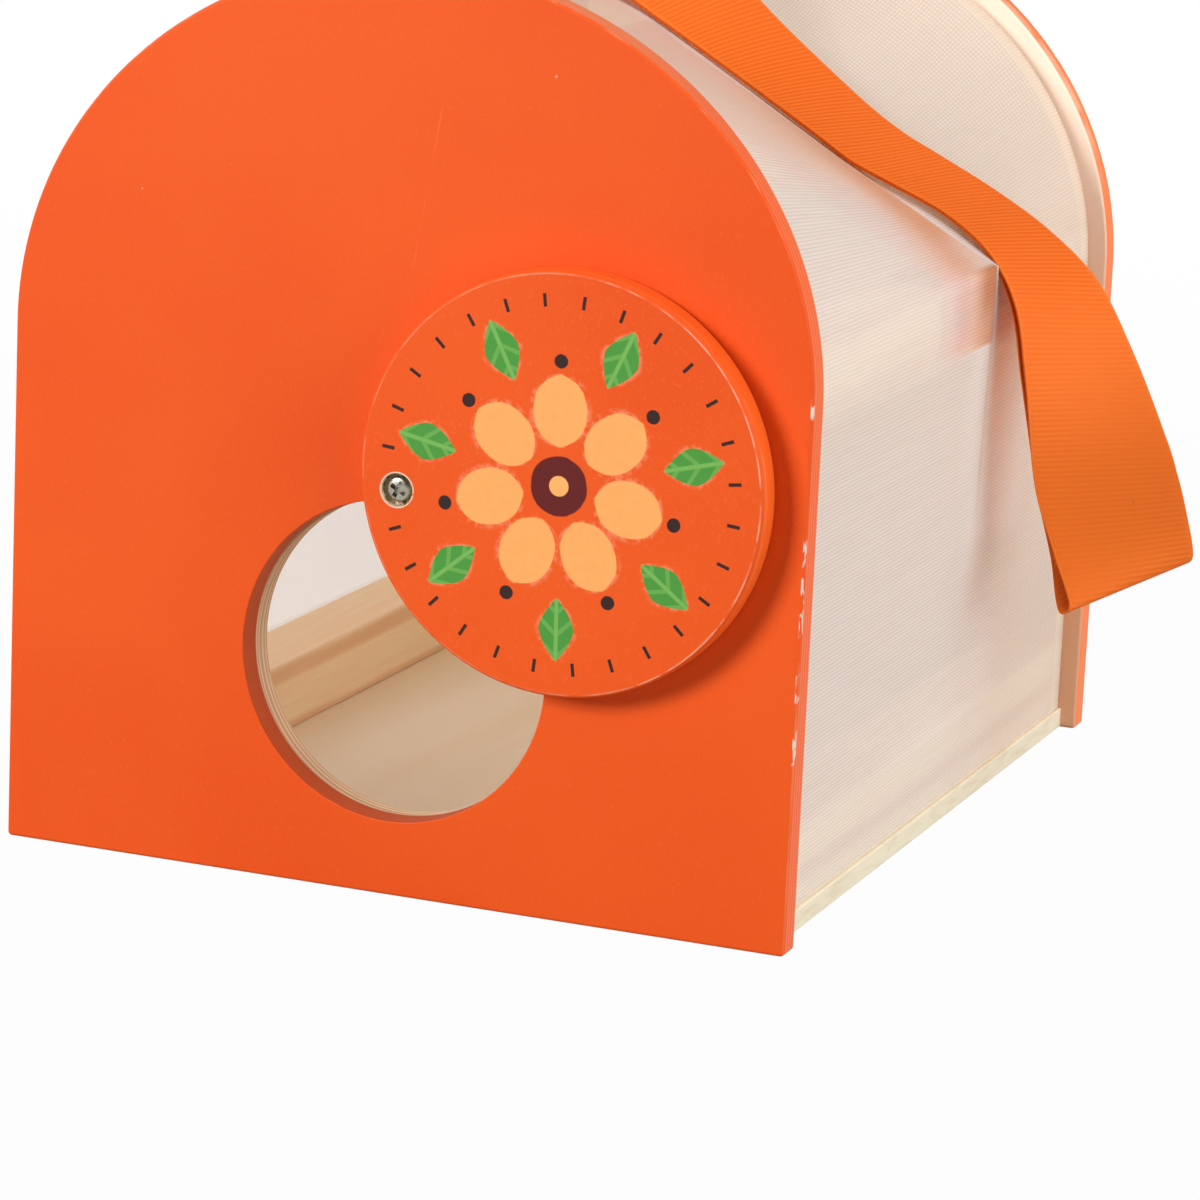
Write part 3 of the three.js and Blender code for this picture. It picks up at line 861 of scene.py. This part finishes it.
def netPoint(across, y):
    plan = netPlan
    draw = netDraw(y)
    side = -1 if across < 0.5 else 1
    reach = 1 - abs(across - 0.5) * 2
    split = plan["sideSteps"] / (plan["sideSteps"] + plan["topSteps"] / 2)
    if reach < split:
        z = plan["foot"] + (plan["cornerZ"] - plan["foot"]) * reach / split
        archX = plan["half"]
        if z > plan["spring"]:
            archX = plan["half"] * sqrt(1 - ((z - plan["spring"]) / plan["rise"]) ** 2)
        bulge = draw * smoothStep(z, plan["cornerZ"] - plan["fade"], plan["cornerZ"])
        return Vector((side * (archX + bulge * (plan["cornerX"] - archX)), y, z))
    share = (reach - split) / (1 - split)
    start = asin((plan["cornerZ"] - plan["spring"]) / plan["rise"])
    turn = start + (pi / 2 - start) * share
    gableX = plan["cornerX"] * (1 - share)
    slope = (plan["apexZ"] - plan["cornerZ"]) / plan["cornerX"]
    gableZ = plan["apexZ"] - slope * gableX
    if side < 0:
        fall = (plan["apexZ"] + slope * plan["peak"] - plan["cornerZ"]) / (plan["cornerX"] - plan["peak"])
        gableZ = min(plan["apexZ"] + slope * gableX, plan["cornerZ"] + fall * (plan["cornerX"] - gableX))
    gableZ -= plan["dip"] * 4 * share * (1 - share)
    x = plan["half"] * cos(turn) * (1 - draw) + gableX * draw
    z = (plan["spring"] + plan["rise"] * sin(turn)) * (1 - draw) + gableZ * draw
    return Vector((side * x, y, z))


def netFinish():
    look = netLook
    finish = Finish("netCloth")
    x, y, z = finish.axes()
    around, along = finish.axes("UV")[:2]
    onSide = finish.step(abs(x), 60, 66)
    offLeft = finish.step(x, -64, -40)
    far = finish.step(y, 26, 44)

    # threads, calmer on the left side and crossed behind the crease
    slub = finish.noise(60, 2, (30, 1, 1), "UV") - 0.5
    warp = (around + slub * 0.3).wave(look["warp"])
    weft = along.wave(look["weft"])
    streak = finish.noise(900, 2, (1, 0.02, 1), "UV")
    warp = 0.5 + (warp - 0.5) * (0.25 + offLeft * 0.75)
    threads = warp * (1 - far * 0.6) + warp * weft * far * 0.9
    colour = finish.blend(look["shade"], look["thread"], threads * 0.6 + streak * 0.4)
    colour = finish.blend(colour, look["far"], far * (0.2 + (1 - weft) * 0.35))
    # painted shade: the left wall of the net is painted grey
    colour = finish.blend(colour, look["left"], (1 - offLeft) * 0.8)
    upper, lower = finish.within(z, *look["upperRail"], 0.8), finish.within(z, *look["lowerRail"], 1.2)
    rails = upper.atLeast(lower) * onSide
    colour = finish.blend(colour, look["rail"], rails * 0.5)
    hem = finish.within(abs(y), 81.2, 84.8, 0.8)
    colour = finish.blend(colour, look["hem"], hem * 0.8)

    # band of ribbon under the net, in front of the crease and narrower towards the top: the ribbon seen
    # through the cloth, with painted shade darkest next to the crease
    ahead = (netPlan["creaseY"] - y) / (1 + finish.step(z, 116, 150) * 5)
    onGable = finish.step(z, 103.5, 106)
    near = finish.step(ahead, 0.5, 2.0)
    wide = near * (1 - finish.step(ahead, 6, 44)) * onGable
    band = near * (1 - finish.step(ahead, 6, 24)) * onGable * (1 - finish.step(z, 107, 146) * 0.7)
    crease = finish.within(ahead, -0.7, 0.5, 0.3) * onGable
    colour = finish.blend(colour, look["bandEdge"], wide * (0.85 - finish.step(z, 116, 140) * 0.3))
    colour = finish.blend(colour, look["band"], band * 0.52)
    colour = finish.blend(colour, look["crease"], crease * 0.8)

    # its tucked end on the rail, painted shade beside the upright crease below it, and painted light on the
    # net beside them where the ribbon shades it
    tuck = finish.within(z, 90.5, 104.5, 0.8) * finish.step(ahead, -0.4, 0.6) * onSide
    tuckEdge = tuck * (1 - finish.step(ahead, 8, 26))
    tuckMiddle = tuck * (1 - finish.step(ahead, 4, 15))
    colour = finish.blend(colour, look["tuckEdge"], tuckEdge * 0.75)
    colour = finish.blend(colour, look["tuck"], tuckMiddle * (0.55 + finish.step(z, 93, 101) * 0.35))
    fold = finish.within(ahead, 0.2, 1.2, 0.8) * finish.within(z, 66, 91, 14) * onSide
    colour = finish.blend(colour, look["fold"], fold * 0.3)
    drawn = finish.within(ahead, -20, 2, 16) * finish.step(x, 60, 66) * finish.within(z, 55, 103, 12)
    colour = finish.blend(colour, look["drawn"], drawn * (1 - tuck) * (1 - fold) * 0.45)

    # open between its threads, with light through the cloth where nothing lies behind
    cover = 0.82 + threads * 0.1 + drawn * 0.08
    cloth = finish.body(colour, 0.78, warp * 0.6 + weft * 0.4, 0.00005, specular=0.1, Alpha=cover)
    glow = finish.add("ShaderNodeBsdfTranslucent", {}, {"Color": look["glow"]})
    clear = finish.add("ShaderNodeBsdfTransparent", {}, {})
    blocked = (wide * 0.8).atLeast(tuckEdge * 0.9).atLeast(rails * 0.3)
    through = 0.4 - blocked * 0.35 - (1 - offLeft) * 0.06
    return finish.done(finish.mix(through, cloth, finish.mix(cover, clear, glow)))


def makeNet():
    plan = netPlan
    front, rows = plan["front"], plan["rows"]
    columns = 2 * plan["sideSteps"] + plan["topSteps"]
    rim = [netPoint(column / columns, front) for column in range(columns + 1)]
    run = runLengths([two - one for one, two in zip(rim, rim[1:])])

    def depth(row):
        return front * (1 - 2 * row / rows)

    def inSlit(face):
        x, y, z = face.calc_center_median() / mm
        near, far = plan["slitY"]
        return abs(x - plan["slitX"]) < plan["slitHalf"] and near < y < far and z > plan["slitAbove"]

    mesh = layGrid(columns, rows, lambda column, row: netPoint(column / columns, depth(row)),
                   lambda column, row: (run[column], depth(row)))
    bmesh.ops.delete(mesh, geom=[face for face in mesh.faces if inSlit(face)], context="FACES")
    bmesh.ops.recalc_face_normals(mesh, faces=mesh.faces)
    obj = addPiece("netCover", mesh, "case", ["net_cover"], netFinish(), 60)
    -front * 2 * mm


makeNet()
print("net made")


# ribbon strap
railHigh = nodeBox("right_upper_rail")[1]
strapPlan = {
    "width": 25.0,
    "thick": 0.4,
    "tuckX": railHigh[0] + 0.55,  # middle of the ribbon on the rail
    "railTop": railHigh[2],
    "tuck": 13.0,
    "under": 1.5,
    "entering": [(-3.2, 0), (-1.8, 1.6)],  # from the slit, and above the run under the net
    "leaving": [(1.4, 2.2), (3.1, 0), (5.8, 0), (14, -0.3), (22, -0.3)],
    # rows of the loop: a point on each edge, then how far the returning strand lies below and aside
    "rise": [
        [(-1.4, -25, 1.5), (-1.4, 0, -1.5), 2.4, 0.3],
        [(-0.2, -22, 8), (0.6, 3, 8.5), 1.8, 0.3],
        [(3.5, -15, 9.2), (6, 8, 13.5), 1.2, 0.3],
        [(9, -9, 6.2), (12.5, 13, 14.9), 0.9, 0.3],
    ],
    "flank": [
        [(0.03, -4.5, 1.9), (0.09, 17, 13.9), 0.7, 0.3],
        [(0.25, -2, 1.1), (0.29, 21.5, 8.4), 0.55, 0.3],
        [(0.5, -3.5, 1.3), (0.55, 19.5, 5.7), 0.55, 0.3],
        [(0.6, -3.6, 1.1), (0.64, 19, 5.6), 0.55, 0.3],
        [(0.7, -0.6, 1.4), (0.72, 22.5, 5.1), 0.55, 0.3],
        [(0.84, 2.6, 1.9), (0.87, 26.3, 4.9), 0.55, 0.3],
    ],
    "drop": [
        [(-2.2, 1.2, 2.1), (2.4, 25.4, 3.6), 0.6, 0.3],
        [(3.8, -0.7, -6.4), (13, 22.7, -4.4), 1.2, 0.3],
        [(7.2, -1.7, -20.4), (21.8, 18.5, -16), 1.8, 0.3],
        [(10.7, -1.9, -41.4), (34.2, 7.7, -34), 2.6, 0.3],
        [(15.8, -4.6, -52.4), (38.2, 5.2, -43.4), 2.4, -0.6],
        [(20.8, -9.5, -61.4), (39.5, 6.8, -52.5), 2.4, -1.1],
    ],
    "steps": 14,
    "lanes": 8,
    "hem": 0.006,
    "rib": 1.0,
    "skew": 0.22,
    "dark": rgb(233, 95, 15),
    "light": rgb(247, 117, 29),
    "edge": rgb(246, 122, 36),
    "low": rgb(255, 123, 38),
    "fleck": rgb(170, 66, 24),
    "fleckAt": (100.7, 22.9, 62.1),
}


def smoothRun(points, steps):
    # smooth curve through the points, with knots spaced by the root of each gap
    ends = [points[0] * 2 - points[1]] + points + [points[-1] * 2 - points[-2]]
    out = []
    for i in range(1, len(ends) - 2):
        p0, p1, p2, p3 = ends[i - 1:i + 3]
        t1 = max((p1 - p0).length, 1e-4) ** 0.5
        t2 = t1 + max((p2 - p1).length, 1e-4) ** 0.5
        t3 = t2 + max((p3 - p2).length, 1e-4) ** 0.5
        for k in range(steps):
            t = t1 + (t2 - t1) * k / steps
            a1 = p0 * ((t1 - t) / t1) + p1 * (t / t1)
            a2 = p1 * ((t2 - t) / (t2 - t1)) + p2 * ((t - t1) / (t2 - t1))
            a3 = p2 * ((t3 - t) / (t3 - t2)) + p3 * ((t - t2) / (t3 - t2))
            b1 = a1 * ((t2 - t) / t2) + a2 * (t / t2)
            b2 = a2 * ((t3 - t) / (t3 - t1)) + a3 * ((t - t1) / (t3 - t1))
            out.append(b1 * ((t2 - t) / (t2 - t1)) + b2 * ((t - t1) / (t2 - t1)))
    return out + [points[-1]]


def strapEdges():
    plan, net = strapPlan, netPlan
    slitX, cornerX, tuckX, top = net["slitX"], net["cornerX"], plan["tuckX"], plan["railTop"]
    slope = (net["apexZ"] - net["cornerZ"]) / cornerX

    # the run under the net, as (x, z)
    def chord(x, lift=0):
        return (x, net["apexZ"] - plan["under"] - slope * abs(x) + lift)

    tucked = [(-tuckX, top - plan["tuck"]), (-tuckX, top - 2), (-tuckX + 0.8, top + 0.8),
              chord(-tuckX + 5), chord(-tuckX / 2), chord(slitX - 6.2)]
    mirrored = [(-x, z) for x, z in reversed(tucked)]
    entering = [chord(slitX + x, lift) for x, lift in plan["entering"]]
    leaving = [chord(slitX + x, lift) for x, lift in plan["leaving"]]

    # the loop, first its outer strand and then the strand that returns below it
    places = {
        "rise": lambda x, z: (slitX + x, net["apexZ"] + z),
        "flank": lambda share, z: (share * cornerX, net["apexZ"] - slope * share * cornerX + z),
        "drop": lambda x, z: (cornerX + x, net["cornerZ"] + z),
    }
    outer, spread = [[], []], []
    for part, place in places.items():
        for row in plan[part]:
            for side in (0, 1):
                first, y, last = row[side]
                x, z = place(first, last)
                outer[side].append(Vector((x, net["creaseY"] + y, z)))
            spread.append(row[2:])
    inner = [[], []]
    for i, (below, aside) in enumerate(spread):
        before, after = max(i - 1, 0), min(i + 1, len(spread) - 1)
        along = outer[0][after] + outer[1][after] - outer[0][before] - outer[1][before]
        across = outer[1][i] - outer[0][i]
        offset = across.cross(along).normalized() * below + across.normalized() * aside
        for side in (0, 1):
            inner[side].insert(0, outer[side][i] + offset)
    edges = []
    for side, y in enumerate((net["creaseY"] - plan["width"], net["creaseY"])):
        start = [Vector((x, y, z)) for x, z in tucked + entering]
        end = [Vector((x, y, z)) for x, z in leaving + mirrored]
        edges.append(smoothRun(start + outer[side] + inner[side] + end, plan["steps"]))
    return edges


def ribbonFinish():
    plan = strapPlan
    finish = Finish("ribbonWeave")
    x, y, z = finish.axes()
    across, along = finish.axes("UV")[:2]
    jitter = finish.noise(220, 2, source="UV") - 0.5
    rib = (along - across * plan["skew"] + jitter * 0.12).wave(plan["rib"])
    fray = finish.noise(2500, 2, source="UV")
    half = plan["width"] / 2
    edge = finish.step(abs(across - half), half - 1.0, half - 0.4)
    colour = finish.blend(plan["dark"], plan["light"], rib * 0.7 + fray * 0.3)
    colour = finish.blend(colour, plan["edge"], edge * 0.5)
    # painted light: the lower part of the ribbon is painted lighter
    colour = finish.blend(colour, plan["low"], (1 - finish.step(z, 70, 116)) * 0.9)
    fleckX, fleckY, fleckZ = plan["fleckAt"]
    fleck = 1 - finish.step(distance(x - fleckX, y - fleckY, z - fleckZ), 0.2, 0.6)
    colour = finish.blend(colour, plan["fleck"], fleck * 0.7)
    height = rib * (1 - edge) + fray * 0.15
    return finish.done(finish.body(colour, 0.6 + fray * 0.15, height, 0.00008, specular=0.2))


def makeStrap():
    plan = strapPlan
    near, far = strapEdges()
    lanes = [i / plan["lanes"] for i in range(1, plan["lanes"])]
    lanes = [0, plan["hem"]] + lanes + [1 - plan["hem"], 1]
    run = runLengths([(near[i + 1] + far[i + 1] - near[i] - far[i]) / 2 for i in range(len(near) - 1)])
    mesh = layGrid(len(lanes) - 1, len(near) - 1, lambda lane, row: near[row].lerp(far[row], lanes[lane]),
                   lambda lane, row: (plan["width"] * lanes[lane], run[row]))
    obj = addPiece("carryStrap", mesh, "case", ["carry_strap"], ribbonFinish(), 80)
    body = obj.modifiers.new("thickness", "SOLIDIFY")
    body.thickness = plan["thick"] * mm
    body.offset = 0
    plan["width"] * mm


makeStrap()
print("strap made")
